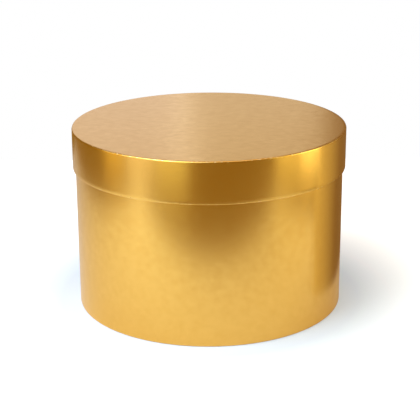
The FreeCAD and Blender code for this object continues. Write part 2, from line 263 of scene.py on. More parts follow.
def spin(obj: Piece, start: float) -> None:
    """Spins a section all the way round the axis and closes the sheet.

    Args:
        obj: the section.
        start: the bearing that the section is turned to first.
    """
    take(obj)
    edit()
    bpy.ops.mesh.select_all(action="SELECT")
    turn_about_axis(start)
    bpy.ops.mesh.spin(steps=STEPS, angle=FULL_TURN, center=(0, 0, 0), axis=(0, 0, 1))
    bpy.ops.mesh.select_all(action="SELECT")
    bpy.ops.mesh.remove_doubles(threshold=TINY)
    leave()


def turn_about_axis(angle: float) -> None:
    """Turns what is selected in edit mode about the box's axis, anticlockwise from above."""
    bpy.ops.transform.rotate(value=-angle, orient_axis="Z", center_override=(0, 0, 0))


def fill_disc(obj: Piece, radius: float, height: float) -> None:
    """Fills the round hole in a sheet with an even grid.

    Args:
        obj: the sheet.
        radius: the hole's radius.
        height: the hole's height.
    """
    def on_hole(point: Vector) -> bool:
        return abs(reach(point) - radius) < NEAR and abs(point.z - height) < NEAR

    pick_edges(obj, lambda one, other: on_hole(one) and on_hole(other))
    bpy.ops.mesh.fill_grid(span=GRID_SIDE)
    leave()


def smooth(obj: Piece) -> None:
    """Shades a piece smooth, with crisp paper edges."""
    take(obj)
    bpy.ops.object.shade_smooth_by_angle(angle=SHARP)


def face_towards(obj: Piece, at: Place, way: Place) -> None:
    """Points an open sheet's normals one way, judged at one place of its section.

    Args:
        obj: the sheet, before it has a thickness.
        at: a place on its section.
        way: the direction there, (away from the axis, up).
    """
    take(obj)
    edit("FACE")
    bpy.ops.mesh.select_all(action="SELECT")
    bpy.ops.mesh.normals_make_consistent(inside=False)
    leave()

    def miss(face: bpy.types.MeshPolygon) -> float:
        return math.hypot(reach(face.center) - at[0], face.center.z - at[1])

    face = min(obj.data.polygons, key=miss)
    outward = (face.normal.x * face.center.x + face.normal.y * face.center.y) / reach(face.center)
    if outward * way[0] + face.normal.z * way[1] < 0:
        edit("FACE")
        bpy.ops.mesh.select_all(action="SELECT")
        bpy.ops.mesh.flip_normals()
        leave()


def cut_columns(obj: Piece, bearings: Iterable[float], near: float) -> None:
    """Cuts a spun sheet from edge to edge at exact bearings.

    Args:
        obj: the sheet.
        bearings: where to cut.
        near: how far either side of a cut faces may lie, as an angle.
    """
    for angle in bearings:
        pick_faces(obj, lambda middle: abs(turn_between(bearing(middle), angle)) < near)
        bpy.ops.mesh.bisect(plane_co=(0, 0, 0), plane_no=(-math.sin(angle), math.cos(angle), 0))
        leave()


def turn_between(one: float, other: float) -> float:
    """The turn from one bearing to another, from minus to plus half a turn."""
    return (other - one + math.pi) % FULL_TURN - math.pi


@dataclass(frozen=True)
class Lap:
    """Where a sheet's end lies over its start.

    Args:
        middle: the lap's bearing.
        width: how wide it is.
        radius: the face it lies on.
        low: where it starts.
        high: where it ends.
        proud: how far it stands off the face; less than 0 is towards the axis.
        ramp: the width in which it climbs.
        edge: the width of its crisp cut edge.
    """

    middle: float
    width: float
    radius: float
    low: float
    high: float
    proud: float
    ramp: float = 1.0 * MM
    edge: float = 0.03 * MM

    def press(self, obj: Piece) -> None:
        """Raises the lap on a spun sheet."""
        half = self.width / 2 / self.radius
        start, end = self.middle - half, self.middle + half
        cuts = (start - self.ramp / self.radius, start, end, end + self.edge / self.radius)
        cut_columns(obj, cuts, near=half)

        def on_lap(point: Vector) -> bool:
            inside = start - TINY < self.middle + turn_between(self.middle, bearing(point)) < end + TINY
            on_face = abs(reach(point) - self.radius) < NEAR
            return inside and on_face and self.low - TINY < point.z < self.high + TINY

        pick_points(obj, on_lap)
        growth = (self.radius + self.proud) / self.radius
        bpy.ops.transform.resize(value=(growth, growth, 1), center_override=(0, 0, 0))
        leave()


@dataclass(frozen=True)
class Notches:
    """The notches that let a sheet's fringe turn a corner.

    Args:
        count: how many there are.
        first: the first one's bearing.
        point: where each ends.
        mouth: the fringe's edge, where each opens.
        width: how wide it opens there.
    """

    count: int
    first: float
    point: Place
    mouth: Place
    width: float

    def at(self, angle: float) -> bool:
        """Whether there is a notch at a bearing."""
        pitch = FULL_TURN / self.count
        turn = turn_between(self.first, angle)
        return abs(turn - round(turn / pitch) * pitch) * self.mouth[0] < NEAR

    def snip(self, obj: Piece) -> None:
        """Splits the fringe at each notch and opens it."""
        ends = [sorted(pair) for pair in zip(self.point, self.mouth)]

        def in_fringe(spot: Vector) -> bool:
            return all(low - NEAR < value < high + NEAR
                       for (low, high), value in zip(ends, (reach(spot), spot.z)))

        def on_notch(one: Vector, other: Vector) -> bool:
            along = abs(turn_between(bearing(one), bearing(other))) * reach(one) < NEAR
            return along and in_fringe(one) and in_fringe(other) and self.at(bearing(one))

        pick_edges(obj, on_notch)
        bpy.ops.mesh.edge_split(type="EDGE")
        leave()
        for way in (1, -1):
            self._open(obj, way)

    def _open(self, obj: Piece, way: int) -> None:
        """Turns one lip of every notch away from the other."""
        moved = set()
        for face in obj.data.polygons:
            for corner in face.vertices:
                spot = obj.data.vertices[corner].co
                at_mouth = math.hypot(reach(spot) - self.mouth[0], spot.z - self.mouth[1]) < NEAR
                if not at_mouth or not self.at(bearing(spot)):
                    continue
                if turn_between(bearing(spot), bearing(face.center)) * way > 0:
                    moved.add(corner)
        pick(obj, "VERT", (vertex.index in moved for vertex in obj.data.vertices))
        turn_about_axis(way * self.width / 2 / self.mouth[0])
        leave()


@dataclass
class Sheet:
    """A sheet wrapped round the axis, as its seen face.

    Args:
        name: the piece's name.
        section: the places its section passes, in order.
        folds: the corners that are rounded, and their radii.
        rows: runs of the section that are divided, and into how many more points.
        seen: a place on the section and the direction its seen face looks there.
        thickness: the sheet's thickness, behind its seen face.
        start: the bearing its columns are counted from.
        disc: the place where a round hole is filled, if the sheet covers the axis.
    """

    name: str
    section: list[Place]
    seen: tuple[Place, Place]
    thickness: float
    folds: list[tuple[Place, float]] = field(default_factory=list)
    rows: list[tuple[Place, Place, int]] = field(default_factory=list)
    start: float = BACK
    disc: Place | None = None

    def wrap(self) -> Piece:
        """Draws the section, folds it and spins it.

        Returns:
            The open sheet.
        """
        obj = draw_line(self.name, [in_section(place) for place in self.section])
        leave()
        for run in self.rows:
            divide(obj, *run)
        for corner, radius in self.folds:
            fold(obj, corner, radius)
        spin(obj, self.start)
        if self.disc is not None:
            fill_disc(obj, *self.disc)
        face_towards(obj, *self.seen)
        return obj

    def settle(self, obj: Piece, waves: float = 0.0) -> None:
        """Lets the sheet follow the board's slight unevenness, and gives it its thickness.

        Args:
            obj: the open sheet.
            waves: how far the board's face is out of true.
        """
        if waves:
            texture = bpy.data.textures.new(self.name + "_waves", "CLOUDS")
            texture.noise_scale = WAVE_LENGTH
            texture.noise_depth = 2
            apply_modifier(obj, "DISPLACE", texture=texture, texture_coords="LOCAL",
                           strength=waves, mid_level=0.5)
        apply_modifier(obj, "SOLIDIFY", thickness=self.thickness, offset=-1, use_even_offset=True,
                       material_offset=1, material_offset_rim=1)
        self.mark_folds(obj)
        smooth(obj)

    def mark_folds(self, obj: Piece) -> None:
        """Gives each vertex how close it is to a fold, from 0 to 1, where paper wears first."""
        marks = obj.data.attributes.new("fold", "FLOAT", "POINT")
        for vertex in obj.data.vertices:
            gaps = [math.hypot(reach(vertex.co) - corner[0], vertex.co.z - corner[1]) - radius / 2
                    for corner, radius in self.folds]
            gap = min(gaps, default=WEAR_REACH)
            marks.data[vertex.index].value = max(0.0, 1.0 - max(gap, 0.0) / WEAR_REACH)


# ---- Materials


class Recipe:
    """A material in the making: its shader, and the nodes that feed it."""

    def __init__(self, name: str, **settings: float | tuple[float, ...]) -> None:
        """Starts a material.

        Args:
            name: the material's name.
            settings: what is the same all over, by the shader's socket names.
        """
        self.material = bpy.data.materials.new(name)
        self.material.use_nodes = True
        self.tree = self.material.node_tree
        self.shader = self.tree.nodes["Principled BSDF"]
        for socket, value in settings.items():
            self.shader.inputs[socket.replace("_", " ")].default_value = value
        self.place = self.add("ShaderNodeTexCoord").outputs["Object"]

    def add(self, kind: str, feeds: dict[str | int, object] | None = None,
            **options: object) -> bpy.types.Node:
        """Adds a node.

        Args:
            kind: the node's type.
            feeds: what goes into its sockets, as a value or another node's output.
            options: its own properties.

        Returns:
            The new node.
        """
        node = self.tree.nodes.new(kind)
        for option, value in options.items():
            setattr(node, option, value)
        for socket, value in (feeds or {}).items():
            self.feed(node.inputs[socket], value)
        return node

    def feed(self, socket: Socket, value: object) -> None:
        """Sets a socket, or links another node's output to it."""
        if isinstance(value, Socket):
            self.tree.links.new(value, socket)
        else:
            socket.default_value = value

    def cloud(self, size: float, detail: float = 3.0, stretch: tuple[float, float, float] = (1, 1, 1),
              roughness: float = 0.5) -> Socket:
        """A soft random pattern.

        Args:
            size: how large its patches are.
            detail: how many finer layers it has.
            stretch: how far its patches are drawn out along X, Y and Z.
            roughness: how strong the finer layers are.

        Returns:
            A value from 0 to 1.
        """
        scale = tuple(1 / share for share in stretch)
        place = self.add("ShaderNodeMapping", {"Vector": self.place, "Scale": scale}).outputs["Vector"]
        feeds = {"Vector": place, "Scale": 1 / size, "Detail": detail, "Roughness": roughness}
        return self.add("ShaderNodeTexNoise", feeds).outputs["Fac"]

    def spread(self, value: Socket, start: float, end: float,
               low: float = 0.0, high: float = 1.0) -> Socket:
        """Brings a value from one span to another, and keeps it there."""
        feeds = {"Value": value, "From Min": start, "From Max": end, "To Min": low, "To Max": high}
        return self.add("ShaderNodeMapRange", feeds).outputs["Result"]

    def times(self, one: object, other: object, more: object = 0.0) -> Socket:
        """One value times another, and more added to that."""
        feeds = {0: one, 1: other, 2: more}
        return self.add("ShaderNodeMath", feeds, operation="MULTIPLY_ADD").outputs[0]

    def blend(self, share: Socket, first: object, second: object) -> Socket:
        """A colour between two, by a share from 0 to 1."""
        feeds = {"Factor": share, 6: first, 7: second}
        return self.add("ShaderNodeMix", feeds, data_type="RGBA").outputs[2]

    def bump(self, height: Socket, depth: float,
             under: Socket | None = None) -> Socket:
        """Raises the surface by a pattern.

        Args:
            height: the pattern, from 0 to 1.
            depth: how high it stands.
            under: a coarser bump that it lies on.

        Returns:
            The bumped normal.
        """
        feeds: dict[str | int, object] = {"Height": height, "Distance": depth, "Strength": 1.0}
        if under is not None:
            feeds["Normal"] = under
        return self.add("ShaderNodeBump", feeds).outputs["Normal"]

    def dress(self, **sockets: object) -> Finish:
        """Feeds the shader's sockets and gives the finished material."""
        for socket, value in sockets.items():
            self.feed(self.shader.inputs[socket.replace("_", " ")], value)
        return self.material


@dataclass(frozen=True)
class GoldPaper:
    """Satin gold metallised paper.

    Args:
        tone: its colour.
        deep: its colour in the slightly darker patches.
        worn: the colour of rubbed folds.
        satin: its roughness.
        satin_swing: how far its roughness wanders either way.
        rubbed_rough: how much rougher a rubbed fold is.
        patch: the size of its patches, and how high they stand.
        grain: the width of its grain, and how high it stands.
        tooth: the size of its finest texture, and how high it stands.
    """

    tone: tuple[float, ...] = (0.83, 0.515, 0.13, 1)
    deep: tuple[float, ...] = (0.80, 0.485, 0.115, 1)
    worn: tuple[float, ...] = (0.87, 0.66, 0.37, 1)
    satin: float = 0.25
    satin_swing: float = 0.02
    rubbed_rough: float = 0.12
    patch: tuple[float, float] = (7 * MM, 0.006 * MM)
    grain: tuple[float, float] = (0.55 * MM, 0.004 * MM)
    tooth: tuple[float, float] = (0.16 * MM, 0.0025 * MM)

    def mix(self) -> Finish:
        """Mixes the material."""
        recipe = Recipe("satin_gold_paper", Metallic=1.0, Specular_Tint=(1.0, 0.98, 0.95, 1))
        mottle = recipe.cloud(self.patch[0], detail=4, roughness=0.6)
        grain = recipe.cloud(self.grain[0], detail=2, stretch=(9, 9, 1))
        tooth = recipe.cloud(self.tooth[0], detail=1)
        patches = recipe.blend(recipe.spread(mottle, 0.35, 0.7), self.tone, self.deep)
        fold = recipe.add("ShaderNodeAttribute", attribute_name="fold").outputs["Fac"]
        rubbed = recipe.times(recipe.spread(fold, 0.55, 1.0),
                              recipe.spread(recipe.cloud(1.6 * MM, detail=4), 0.5, 0.72))
        colour = recipe.blend(rubbed, patches, self.worn)
        low, high = self.satin - self.satin_swing, self.satin + self.satin_swing
        even = recipe.spread(mottle, 0.3, 0.7, low, high)
        rough = recipe.times(rubbed, self.rubbed_rough, more=even)
        normal = recipe.bump(mottle, self.patch[1])
        normal = recipe.bump(grain, self.grain[1], under=normal)
        normal = recipe.bump(tooth, self.tooth[1], under=normal)
        return recipe.dress(Base_Color=colour, Roughness=rough, Normal=normal)


@dataclass(frozen=True)
class PlainPaper:
    """Uncoated paper, or the bare back and cut edge of a coated one.

    Args:
        name: the material's name.
        tone: its colour.
        deep: the colour of its fibres.
        fibre: how deep its tooth is.
    """

    name: str
    tone: tuple[float, ...]
    deep: tuple[float, ...]
    fibre: float = 0.02 * MM

    def mix(self) -> Finish:
        """Mixes the material."""
        recipe = Recipe(self.name, Specular_IOR_Level=0.35)
        pulp = recipe.cloud(9 * MM, detail=5, roughness=0.6)
        fibres = recipe.cloud(0.5 * MM, detail=4, stretch=(1, 1, 3), roughness=0.65)
        shade = recipe.times(recipe.spread(pulp, 0.3, 0.7, 0.4, 1.0), recipe.spread(fibres, 0.38, 0.7))
        colour = recipe.blend(shade, self.tone, self.deep)
        rough = recipe.spread(fibres, 0.3, 0.7, 0.62, 0.78)
        normal = recipe.bump(fibres, self.fibre, under=recipe.bump(pulp, self.fibre))
        return recipe.dress(Base_Color=colour, Roughness=rough, Normal=normal)


@dataclass(frozen=True)
class Greyboard:
    """Recycled grey board: pulp with darker and paler specks, in thin layers at its cut edges.

    Args:
        tone: its colour.
        dark: the colour of its dark specks.
        pale: the colour of its pale fibres.
        layer: how far its layers stand out at a cut edge.
        lump: how far its pulp stands out.
    """

    tone: tuple[float, ...] = (0.30, 0.275, 0.235, 1)
    dark: tuple[float, ...] = (0.13, 0.115, 0.10, 1)
    pale: tuple[float, ...] = (0.46, 0.43, 0.38, 1)
    layer: float = 0.03 * MM
    lump: float = 0.08 * MM

    def mix(self) -> Finish:
        """Mixes the material."""
        recipe = Recipe("grey_board", Specular_IOR_Level=0.25)
        pulp = recipe.cloud(3 * MM, detail=6, roughness=0.7)
        specks = recipe.cloud(0.7 * MM, detail=2)
        layers = recipe.cloud(0.25 * MM, detail=2, stretch=(20, 20, 1))
        fibres = recipe.blend(recipe.spread(pulp, 0.45, 0.75), self.tone, self.pale)
        colour = recipe.blend(recipe.spread(specks, 0.62, 0.7), fibres, self.dark)
        rough = recipe.spread(pulp, 0.3, 0.7, 0.82, 0.95)
        normal = recipe.bump(layers, self.layer, under=recipe.bump(pulp, self.lump))
        return recipe.dress(Base_Color=colour, Roughness=rough, Normal=normal)


@dataclass(frozen=True)
class KraftTape:
    """Gummed brown kraft tape, with long fibres and a faint glaze.

    Args:
        tone: its colour.
        dark: the colour of its darker fibres.
        fibre: how far its fibres stand out.
        cockle: how far its patches stand out.
    """

    tone: tuple[float, ...] = (0.42, 0.25, 0.12, 1)
    dark: tuple[float, ...] = (0.27, 0.15, 0.07, 1)
    fibre: float = 0.03 * MM
    cockle: float = 0.05 * MM

    def mix(self) -> Finish:
        """Mixes the material."""
        recipe = Recipe("brown_kraft_tape", Specular_IOR_Level=0.4)
        fibres = recipe.cloud(0.4 * MM, detail=4, stretch=(1, 1, 14), roughness=0.6)
        blotch = recipe.cloud(5 * MM, detail=4)
        shade = recipe.times(recipe.spread(blotch, 0.3, 0.7, 0.5, 1.0), recipe.spread(fibres, 0.4, 0.68))
        colour = recipe.blend(shade, self.tone, self.dark)
        rough = recipe.spread(fibres, 0.3, 0.7, 0.5, 0.66)
        normal = recipe.bump(fibres, self.fibre, under=recipe.bump(blotch, self.cockle))
        return recipe.dress(Base_Color=colour, Roughness=rough, Normal=normal)


@dataclass(frozen=True)
class LinerPlastic:
    """Thin black moulded plastic, finely textured and lightly scuffed.

    Args:
        tone: its colour.
        dusty: its colour where it is scuffed.
        scuffed_rough: how much rougher it is there.
        texture: how far its moulded texture stands out.
        flow: how far its slow waves stand out.
    """

    tone: tuple[float, ...] = (0.016, 0.016, 0.017, 1)
    dusty: tuple[float, ...] = (0.05, 0.05, 0.052, 1)
    scuffed_rough: float = 0.2
    texture: float = 0.012 * MM
    flow: float = 0.15 * MM

    def mix(self) -> Finish:
        """Mixes the material."""
        recipe = Recipe("black_moulded_plastic", Specular_IOR_Level=0.5)
        texture = recipe.cloud(0.35 * MM, detail=3, roughness=0.6)
        flow = recipe.cloud(30 * MM, detail=2)
        scuffs = recipe.cloud(2.5 * MM, detail=6, stretch=(4, 4, 1), roughness=0.75)
        worn = recipe.spread(scuffs, 0.58, 0.72)
        rough = recipe.times(worn, self.scuffed_rough, more=recipe.spread(flow, 0.3, 0.7, 0.34, 0.44))
        normal = recipe.bump(texture, self.texture, under=recipe.bump(flow, self.flow))
        colour = recipe.blend(worn, self.tone, self.dusty)
        return recipe.dress(Base_Color=colour, Roughness=rough, Normal=normal)


@dataclass(frozen=True)
class Palette:
    """The finished materials, by what they dress."""

    gold: Finish
    core: Finish
    lining: Finish
    board: Finish
    tape: Finish
    plastic: Finish

    @classmethod
    def mix(cls) -> Palette:
        """Mixes every finish."""
        return cls(
            gold=GoldPaper().mix(),
            core=PlainPaper("paper_core", (0.78, 0.74, 0.64, 1), (0.62, 0.57, 0.46, 1)).mix(),
            lining=PlainPaper("off_white_lining", (0.83, 0.81, 0.765, 1), (0.74, 0.715, 0.66, 1)).mix(),
            board=Greyboard().mix(),
            tape=KraftTape().mix(),
            plastic=LinerPlastic().mix(),
        )


# ---- The box


@dataclass(frozen=True)
class Reach:
    """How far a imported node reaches.

    Args:
        inner: its least distance from the axis.
        outer: its greatest distance from the axis.
        low: its lowest height.
        high: its greatest height.
    """

    inner: float
    outer: float
    low: float
    high: float

    @classmethod
    def of(cls, node: Piece) -> Reach:
        """Measures a node of the frame."""
        across = [reach(vertex.co) for vertex in node.data.vertices]
        low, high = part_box(node.name)
        return cls(min(across), max(across), low.z, high.z)


@dataclass
class PaperPart:
    """What the lid and the box share: their papers' sizes, and how a sheet becomes a piece.

    Args:
        frame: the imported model.
        palette: the finished materials.
        body: the body that the part's pieces ride on.
        paper: the thickness of its papers.
        fold_radius: the radius of a fold over a board's edge.
        waves: how far the boards are out of true.
        notch_count: the notches of a fringe.
        notch_width: how wide a notch opens.
        lap_width: how far a wrap's end lies over its start.
        hem_cover: how far a lining lies over the turned-in edge of a wrap.
        joggle: the length in which a sheet steps over another's edge.
        hem_rows: the rows added to a turned-in edge.
        disc_share: the share of a disc's radius that its square grid fills.
        disc_rows: the rows added to the rest of a disc.
        disc_lining_rows: the same, in a lining.
        pieces: what is finished.
    """

    frame: dict
    palette: Palette
    body: str = ""
    paper: float = 0.15 * MM
    fold_radius: float = 0.5 * MM
    waves: float = 0.025 * MM
    notch_count: int = 48
    notch_width: float = 1.2 * MM
    lap_width: float = 12.0 * MM
    hem_cover: float = 7.0 * MM
    joggle: float = 1.2 * MM
    hem_rows: int = 2
    disc_share: float = 0.8
    disc_rows: int = 8
    disc_lining_rows: int = 6
    pieces: list[Piece] = field(default_factory=list)

    def reach_of(self, node: str) -> Reach:
        """Measures one of the frame's nodes."""
        return Reach.of(self.frame["nodes"][node])

    def hang(self, piece: Piece, node: str, slot: Slot) -> None:
        """Dresses a finished piece and puts it in its node's place.

        Args:
            piece: the piece.
            node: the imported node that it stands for.
            slot: the record's material slot.
        """
        faces = {
            Slot.GOLD: (self.palette.gold, self.palette.core),
            Slot.LINING: (self.palette.lining, self.palette.core),
            Slot.PLASTIC: (self.palette.plastic, self.palette.plastic),
        }
        for material in faces[slot]:
            piece.data.materials.append(material)
        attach(piece, self.body)
        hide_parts(node)
        self.pieces.append(piece)

    def line(self, sheet: Sheet, node: str) -> None:
        """Makes a lining of a sheet, in its node's place."""
        obj = sheet.wrap()
        sheet.settle(obj, self.waves / 2)
        self.hang(obj, node, Slot.LINING)

    def line_disc(self, name: str, node: str, up: int) -> None:
        """Makes a round lining.

        Args:
            name: the piece's name.
            node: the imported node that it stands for.
            up: 1 if its seen face looks up, -1 if it looks down.
        """
        disc = self.reach_of(node)
        height = disc.high if up > 0 else disc.low
        start, edge = (self.disc_share * disc.outer, height), (disc.outer, height)
        sheet = Sheet(name, section=[start, edge], rows=[(start, edge, self.disc_lining_rows)],
                      seen=(start, (0, up)), thickness=self.paper, disc=start)
        self.line(sheet, node)

    def coat(self, node: str, material: Finish) -> None:
        """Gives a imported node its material."""
        obj = self.frame["nodes"][node]
        obj.data.materials.clear()
        obj.data.materials.append(material)
        self.pieces.append(obj)

    def notches(self, point: Place, mouth: Place) -> Notches:
        """The notches of a fringe that starts half a pitch from its first notch."""
        return Notches(self.notch_count, math.pi / self.notch_count, point, mouth, self.notch_width)

    def report(self) -> None:
        """Logs each piece and its size."""
        for piece in self.pieces:
            LOG.info("%s: %s, %d faces", self.body, piece.name, len(piece.data.polygons))


@dataclass
class Lid(PaperPart):
    """The lift-off lid: a gold cover and rim wrap over grey board, lined inside.

    Args:
        edge_radius: the radius of the fold at the top's edge.
        seam: the bearing of the rim's seam.
        notch_gap: how far below the top the tabs' notches end.
        flat_margin: how far in from the edge the top's last row lies.
        rim_rows: the rows added to the rim's wrap.
        lining_rows: the rows added to the rim's lining.
    """

    body: str = "lid"
    edge_radius: float = 1.0 * MM
    seam: float = math.radians(112)
    notch_gap: float = 1.8 * MM
    flat_margin: float = 3.0 * MM
    rim_rows: int = 9
    lining_rows: int = 5

    def build(self) -> None:
        """Builds and dresses the whole lid."""
        self.cover_top()
        self.wrap_rim()
        self.line_rim()
        self.line_top()
        self.coat("lid_rim_board", self.palette.board)
        self.coat("lid_top_board", self.palette.board)
        self.coat("lid_joint_tape", self.palette.tape)
        self.report()

    def cover_top(self) -> None:
        """The disc over the top, folded down the rim in notched tabs."""
        node, rim = self.reach_of("lid_top_cover"), self.reach_of("lid_rim_board")
        top, edge = node.high, rim.outer
        notch, tab_end = (edge, top - self.notch_gap), (edge, node.low)
        start, flat_end = (self.disc_share * edge, top), (edge - self.flat_margin, top)
        sheet = Sheet(
            "lid_top_paper",
            section=[start, flat_end, (edge, top), notch, tab_end],
            folds=[((edge, top), self.edge_radius)],
            rows=[(start, flat_end, self.disc_rows)],
            seen=(start, (0, 1)),
            thickness=self.paper,
            disc=start,
        )
        obj = sheet.wrap()
        self.notches(notch, tab_end).snip(obj)
        sheet.settle(obj, self.waves)
        self.hang(obj, "lid_top_cover", Slot.GOLD)

    def wrap_rim(self) -> None:
        """The strip round the rim, turned in round its lower edge."""
        node, board = self.reach_of("lid_rim_wrap"), self.reach_of("lid_rim_board")
        outer, inner = board.outer + self.paper, board.inner - self.paper
        hem = self.reach_of("lid_rim_lining").low + self.hem_cover
        top, foot = (outer, node.high), (outer, node.low)
        inside, end = (inner, node.low), (inner, hem)
        sheet = Sheet(
            "lid_rim_paper",
            section=[top, foot, inside, end],
            folds=[(foot, self.fold_radius), (inside, self.fold_radius)],
            rows=[(top, foot, self.rim_rows), (inside, end, self.hem_rows)],
            seen=(top, (1, 0)),
            thickness=self.paper,
            start=self.seam,
        )
        obj = sheet.wrap()
        low = node.low + self.fold_radius
        Lap(self.seam, self.lap_width, outer, low, node.high, self.paper).press(obj)
        sheet.settle(obj, self.waves)
        self.hang(obj, "lid_rim_wrap", Slot.GOLD)

    def line_rim(self) -> None:
        """The lining round the inside of the rim, stepping in over the turned-in paper."""
        node, board = self.reach_of("lid_rim_lining"), self.reach_of("lid_rim_board")
        on_board, on_hem = board.inner - self.paper, board.inner - 2 * self.paper
        hem = node.low + self.hem_cover
        top, step = (on_board, node.high), (on_board, hem + self.joggle)
        sheet = Sheet(
            "lid_rim_lining_paper",
            section=[top, step, (on_hem, hem), (on_hem, node.low)],
            rows=[(top, step, self.lining_rows)],
            seen=(top, (-1, 0)),
            thickness=self.paper,
            start=self.seam,
        )
        self.line(sheet, "lid_rim_lining")

    def line_top(self) -> None:
        """The lining disc inside the top."""
        self.line_disc("lid_top_lining_paper", "lid_top_lining", up=-1)


@dataclass
class Box(PaperPart):
    """The box: a gold side wrap and base cover over grey board, lined inside.

    Args:
        notch_depth: how far in from the side the foot's notches end.
        fringe: how wide the fringe under the base is, from the wall's outer face.
        base_share: the share of the base cover's radius that its square grid fills.
        side_rows: the rows added to the side's wrap.
        lining_rows: the rows added to the wall's lining.
    """

    body: str = "box"
    notch_depth: float = 1.15 * MM
    fringe: float = 13.35 * MM
    base_share: float = 0.7
    side_rows: int = 31
    lining_rows: int = 24

    def build(self) -> None:
        """Builds and dresses the whole box."""
        self.wrap_side()
        self.cover_base()
        self.line_wall()
        self.line_floor()
        self.coat("box_wall_board", self.palette.board)
        self.coat("box_base_board", self.palette.board)
        self.coat("box_joint_tape", self.palette.tape)
        self.report()

    def wrap_side(self) -> None:
        """The wrap up the side, turned in over the lip and under the foot."""
        node, wall = self.reach_of("box_side_wrap"), self.reach_of("box_wall_board")
        outer, inner = wall.outer + self.paper, wall.inner - self.paper
        hem = self.reach_of("box_wall_lining").high - self.hem_cover
        mouth = (wall.outer - self.fringe, node.low)
        notch = (wall.outer - self.notch_depth, node.low)
        foot, lip = (outer, node.low), (outer, node.high)
        inside, end = (inner, node.high), (inner, hem)
        sheet = Sheet(
            "box_side_paper",
            section=[mouth, notch, foot, lip, inside, end],
            folds=[(corner, self.fold_radius) for corner in (foot, lip, inside)],
            rows=[(foot, lip, self.side_rows), (inside, end, self.hem_rows)],
            seen=(lip, (1, 0)),
            thickness=self.paper,
        )
        obj = sheet.wrap()
        low, high = node.low + self.fold_radius, node.high - self.fold_radius
        Lap(BACK, self.lap_width, outer, low, high, self.paper).press(obj)
        self.notches(notch, mouth).snip(obj)
        sheet.settle(obj, self.waves)
        self.hang(obj, "box_side_wrap", Slot.GOLD)

    def cover_base(self) -> None:
        """The disc under the base, pressed over the fringe."""
        node, wall = self.reach_of("box_base_cover"), self.reach_of("box_wall_board")
        fringe_end = wall.outer - self.fringe
        on_board = node.low + self.paper
        start = (self.base_share * node.outer, on_board)
        step = (fringe_end - self.joggle, on_board)
        over, edge = (fringe_end, node.low), (node.outer, node.low)
        sheet = Sheet(
            "box_base_paper",
            section=[start, step, over, edge],
            rows=[(start, step, self.disc_rows), (over, edge, self.hem_rows)],
            seen=(start, (0, -1)),
            thickness=self.paper,
            disc=start,
        )
        obj = sheet.wrap()
        sheet.settle(obj)
        self.hang(obj, "box_base_cover", Slot.GOLD)

    def line_wall(self) -> None:
        """The lining round the inside of the wall, stepping in over the turned-in paper."""
        node, wall = self.reach_of("box_wall_lining"), self.reach_of("box_wall_board")
        on_board, on_hem = wall.inner - self.paper, wall.inner - 2 * self.paper
        hem = node.high - self.hem_cover
        foot, step = (on_board, node.low), (on_board, hem - self.joggle)
        sheet = Sheet(
            "box_wall_lining_paper",
            section=[foot, step, (on_hem, hem), (on_hem, node.high)],
            rows=[(foot, step, self.lining_rows)],
            seen=(foot, (-1, 0)),
            thickness=self.paper,
        )
        self.line(sheet, "box_wall_lining")

    def line_floor(self) -> None:
        """The lining disc on the floor."""
        self.line_disc("box_floor_lining_paper", "box_floor_lining", up=1)


@dataclass
class Liner(PaperPart):
    """The waterproof liner: a thin tub with a turned-down rim.

    Args:
        wall: the plastic's thickness.
        lip: how far the rim turns down.
        flange: how wide the rim is.
        draft: how far the wall leans in from its top to its foot.
        foot_radius: the radius between its wall and its floor.
        rim_radius: the radii of its rim.
        floor_rows: the rows added to its floor.
        wall_rows: the rows added to its wall.
    """

    body: str = "liner"
    wall: float = 0.8 * MM
    lip: float = 3.0 * MM
    flange: float = 2.4 * MM
    draft: float = 1.5 * MM
    foot_radius: float = 4.0 * MM
    rim_radius: float = 0.7 * MM
    disc_share: float = 0.75
    floor_rows: int = 4
    wall_rows: int = 8

    def build(self) -> None:
        """Builds and dresses the tub."""
        node = self.reach_of("waterproof_liner")
        under = node.high - self.wall
        neck = (node.outer - self.flange, under)
        foot = (neck[0] - self.draft, node.low)
        skirt = node.outer - self.wall
        corner, end = (skirt, under), (skirt, node.high - self.lip)
        start = (self.disc_share * foot[0], node.low)
        sheet = Sheet(
            "liner_tub",
            section=[start, foot, neck, corner, end],
            folds=[(foot, self.foot_radius), (neck, self.rim_radius), (corner, self.rim_radius / 2)],
            rows=[(start, foot, self.floor_rows), (foot, neck, self.wall_rows)],
            seen=(start, (0, -1)),
            thickness=self.wall,
            disc=start,
        )
        obj = sheet.wrap()
        sheet.settle(obj)
        self.hang(obj, "waterproof_liner", Slot.PLASTIC)
        self.report()


# ---- The studio


@dataclass(frozen=True)
class Softbox:
    """A soft rectangular light that looks at the box.

    Args:
        name: its name.
        azimuth: its bearing round the box, in degrees; 0 is the camera's side and 90 its right.
        elevation: how high it stands, in degrees.
        width: how wide it is.
        height: how tall it is.
        glow: how bright its face is, by colour.
        distance: how far it stands off.
    """

    name: str
    azimuth: float
    elevation: float
    width: float
    height: float
    glow: tuple[float, float, float]
    distance: float

    def hang(self, target: Vector) -> None:
        """Makes the light, looking at the target."""
        turn, rise = math.radians(self.azimuth), math.radians(self.elevation)
        level = math.cos(rise)
        away = Vector((math.sin(turn) * level, -math.cos(turn) * level, math.sin(rise)))
        data = bpy.data.lights.new(self.name, "AREA")
        data.shape = "RECTANGLE"
        data.size, data.size_y = self.width, self.height
        strength = max(self.glow)
        data.color = tuple(part / strength for part in self.glow)
        data.energy = math.pi * self.width * self.height * strength
        light = bpy.data.objects.new(self.name, data)
        bpy.context.scene.collection.objects.link(light)
        light.location = target + away * self.distance
        light.rotation_euler = away.to_track_quat("Z", "Y").to_euler()
        light.visible_camera = False


